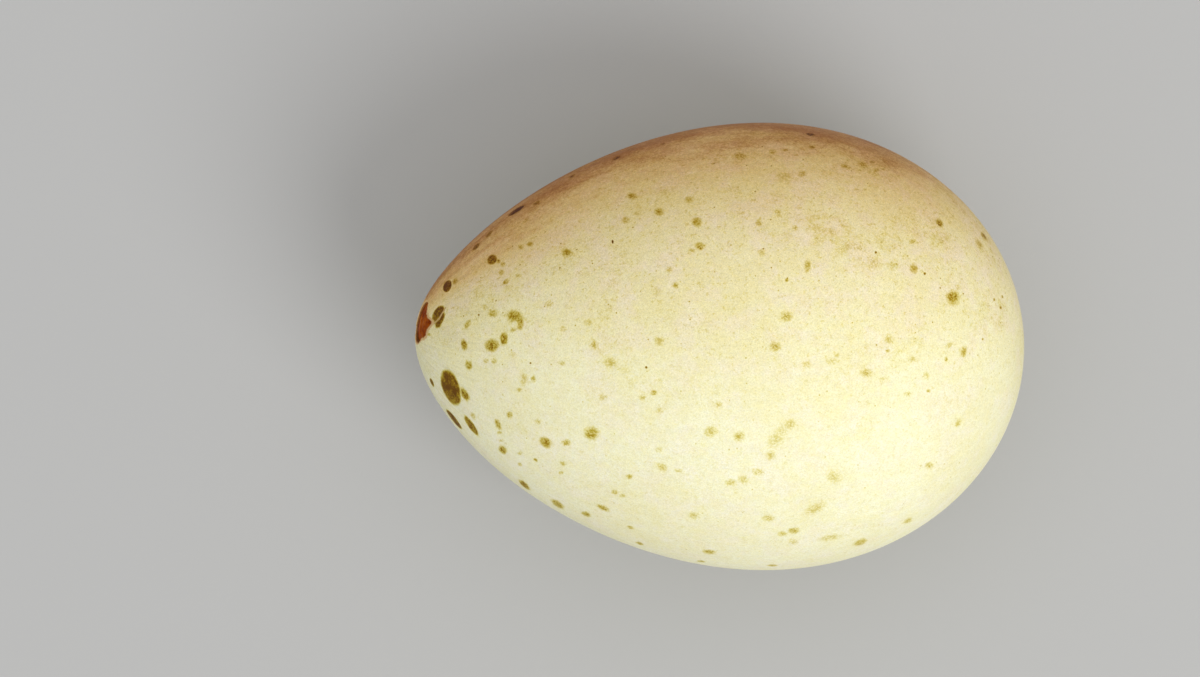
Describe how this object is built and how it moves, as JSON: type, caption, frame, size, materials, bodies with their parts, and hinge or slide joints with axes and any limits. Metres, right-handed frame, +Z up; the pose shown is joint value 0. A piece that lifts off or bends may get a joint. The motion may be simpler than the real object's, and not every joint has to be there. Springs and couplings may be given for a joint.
{
  "type": "grouse egg",
  "caption": "Pointed oval game-bird egg lying on its side, cream with olive-brown spots, its tip chipped to show the membrane.",
  "frame": {"origin": "middle of the egg's length and breadth, on the plane that its small flat spot rests on", "axes": "+X along the egg towards its blunt end, so the pointed, chipped end faces -X; +Y across it, the side that the tip leans to; +Z up"},
  "size_m": [0.0384, 0.0282, 0.0278],
  "materials": {
    "eggshell": "satin",
    "membrane": "gloss"
  },
  "bodies": {
    "root": {"shell": "eggshell", "membrane": "membrane"}
  },
  "joints": []
}
